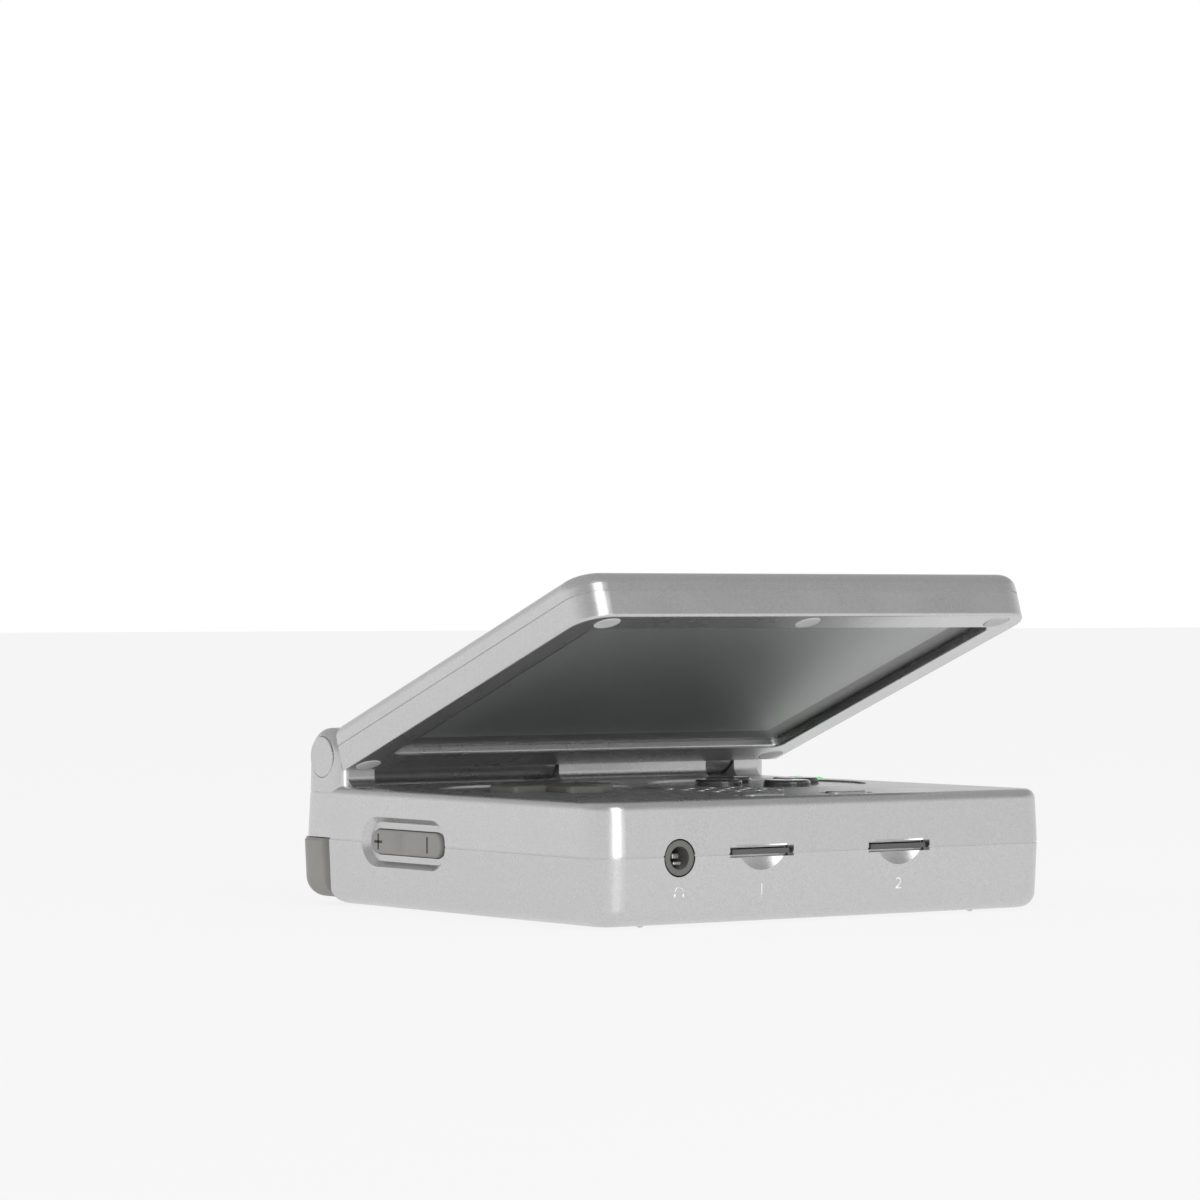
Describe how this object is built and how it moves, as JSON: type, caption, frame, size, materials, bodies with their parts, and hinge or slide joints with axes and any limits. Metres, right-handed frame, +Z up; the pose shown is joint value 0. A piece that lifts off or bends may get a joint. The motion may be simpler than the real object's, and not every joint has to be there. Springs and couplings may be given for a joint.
{
  "type": "clamshell handheld game console",
  "caption": "Pocket game console with a hinged screen lid, cross pad, round face buttons, shoulder buttons, card slots and headphone socket.",
  "frame": {"origin": "centre of the bounding box in plan, on the surface that the console stands on", "axes": "+X to the player's right, +Y back towards the hinge, +Z up; stored with the lid partly open"},
  "size_m": [0.0894, 0.0867, 0.054],
  "materials": {
    "silver_shell": "satin metallic paint",
    "warm_grey_key": "satin",
    "dark_key": "gloss",
    "pad_rubber": "matt",
    "key_rubber": "matt",
    "cover_glass": "polished",
    "display": "satin",
    "steel": "brushed",
    "board": "satin",
    "cell_wrap": "satin",
    "black_plastic": "satin",
    "socket_grey": "satin",
    "green_light": "gloss",
    "ribbon": "satin"
  },
  "bodies": {
    "base": {"bottom_shell": "silver_shell", "top_shell": "silver_shell", "hinge_housing": "silver_shell", "case_screws": "steel", "main_board": "board", "processor_shield": "steel", "battery": "cell_wrap", "speaker": "black_plastic", "speaker_mesh": "black_plastic", "headphone_socket": "socket_grey", "card_socket_1": "steel", "card_socket_2": "steel", "usb_socket": "steel", "video_socket": "steel", "light_windows": "green_light", "dpad_membrane": "key_rubber", "button_membrane": "key_rubber", "pill_membrane": "key_rubber", "volume_switches": "steel", "shoulder_switches": "steel", "power_switches": "steel", "shoulder_pins": "steel", "hinge_pin_left": "steel", "hinge_pin_middle": "steel", "hinge_pin_right": "steel", "hinge_clutch": "steel", "hinge_cap_left": "silver_shell", "hinge_cap_right": "silver_shell"},
    "lid": {"lid_bezel": "silver_shell", "lid_cover": "silver_shell", "screen_glass": "cover_glass", "display_panel": "display", "lid_pads": "pad_rubber", "lid_screws": "steel", "lid_magnet": "steel", "display_ribbon": "ribbon", "clutch_shaft": "steel"},
    "dpad_pivot": {"dpad_ball": "steel"},
    "dpad_cross": {"dpad": "warm_grey_key"},
    "face_button_1": {"button_1": "dark_key"},
    "face_button_2": {"button_2": "dark_key"},
    "face_button_3": {"button_3": "dark_key"},
    "face_button_4": {"button_4": "dark_key"},
    "select_pill": {"select_button": "silver_shell"},
    "start_pill": {"start_button": "silver_shell"},
    "volume_rocker": {"volume_key": "warm_grey_key"},
    "power_key": {"power_button": "warm_grey_key"},
    "reset_key": {"reset_button": "warm_grey_key"},
    "left_outer_shoulder": {"shoulder_left_outer": "warm_grey_key"},
    "left_inner_shoulder": {"shoulder_left_inner": "warm_grey_key"},
    "right_outer_shoulder": {"shoulder_right_outer": "warm_grey_key"},
    "right_inner_shoulder": {"shoulder_right_inner": "warm_grey_key"},
    "card_1": {"memory_card_1": "black_plastic"},
    "card_2": {"memory_card_2": "black_plastic"}
  },
  "joints": [
    {"name": "lid_hinge", "type": "hinge", "parent": "base", "child": "lid", "pos_m": [0, 0.0358, 0.02424], "axis": [-1, 0, 0], "range_deg": [-20.25, 114.75]},
    {"name": "dpad_fore_aft", "type": "hinge", "parent": "base", "child": "dpad_pivot", "pos_m": [-0.0208, 0.0035, 0.0159], "axis": [1, 0, 0], "range_deg": [-3, 3], "stiffness_Nm_per_rad": 0.2},
    {"name": "dpad_side_to_side", "type": "hinge", "parent": "dpad_pivot", "child": "dpad_cross", "pos_m": [-0.0208, 0.0035, 0.0159], "axis": [0, 1, 0], "range_deg": [-3, 3], "stiffness_Nm_per_rad": 0.2},
    {"name": "button_1_press", "type": "slide", "parent": "base", "child": "face_button_1", "axis": [0, 0, -1], "range_m": [0, 0.0007], "stiffness_N_per_m": 300},
    {"name": "button_2_press", "type": "slide", "parent": "base", "child": "face_button_2", "axis": [0, 0, -1], "range_m": [0, 0.0007], "stiffness_N_per_m": 300},
    {"name": "button_3_press", "type": "slide", "parent": "base", "child": "face_button_3", "axis": [0, 0, -1], "range_m": [0, 0.0007], "stiffness_N_per_m": 300},
    {"name": "button_4_press", "type": "slide", "parent": "base", "child": "face_button_4", "axis": [0, 0, -1], "range_m": [0, 0.0007], "stiffness_N_per_m": 300},
    {"name": "select_press", "type": "slide", "parent": "base", "child": "select_pill", "axis": [0, 0, -1], "range_m": [0, 0.0005], "stiffness_N_per_m": 300},
    {"name": "start_press", "type": "slide", "parent": "base", "child": "start_pill", "axis": [0, 0, -1], "range_m": [0, 0.0005], "stiffness_N_per_m": 300},
    {"name": "volume_rock", "type": "hinge", "parent": "base", "child": "volume_rocker", "pos_m": [-0.0412, 0.01105, 0.0111], "axis": [0, 0, 1], "range_deg": [-1.5, 1.5], "stiffness_Nm_per_rad": 0.2},
    {"name": "power_press", "type": "slide", "parent": "base", "child": "power_key", "axis": [-1, 0, 0], "range_m": [0, 0.0005], "stiffness_N_per_m": 300},
    {"name": "reset_press", "type": "slide", "parent": "base", "child": "reset_key", "axis": [-1, 0, 0], "range_m": [0, 0.0005], "stiffness_N_per_m": 300},
    {"name": "shoulder_left_outer_press", "type": "hinge", "parent": "base", "child": "left_outer_shoulder", "pos_m": [-0.0332, 0.0375, 0.006], "axis": [0, 0, 1], "range_deg": [0, 3], "stiffness_Nm_per_rad": 0.2},
    {"name": "shoulder_left_inner_press", "type": "hinge", "parent": "base", "child": "left_inner_shoulder", "pos_m": [-0.0193, 0.0375, 0.006], "axis": [0, 0, 1], "range_deg": [0, 3], "stiffness_Nm_per_rad": 0.2},
    {"name": "shoulder_right_outer_press", "type": "hinge", "parent": "base", "child": "right_outer_shoulder", "pos_m": [0.0332, 0.0375, 0.006], "axis": [0, 0, -1], "range_deg": [0, 3], "stiffness_Nm_per_rad": 0.2},
    {"name": "shoulder_right_inner_press", "type": "hinge", "parent": "base", "child": "right_inner_shoulder", "pos_m": [0.0193, 0.0375, 0.006], "axis": [0, 0, -1], "range_deg": [0, 3], "stiffness_Nm_per_rad": 0.2},
    {"name": "card_1_slide", "type": "slide", "parent": "base", "child": "card_1", "axis": [0, -1, 0], "range_m": [0, 0.012]},
    {"name": "card_2_slide", "type": "slide", "parent": "base", "child": "card_2", "axis": [0, -1, 0], "range_m": [0, 0.012]}
  ]
}
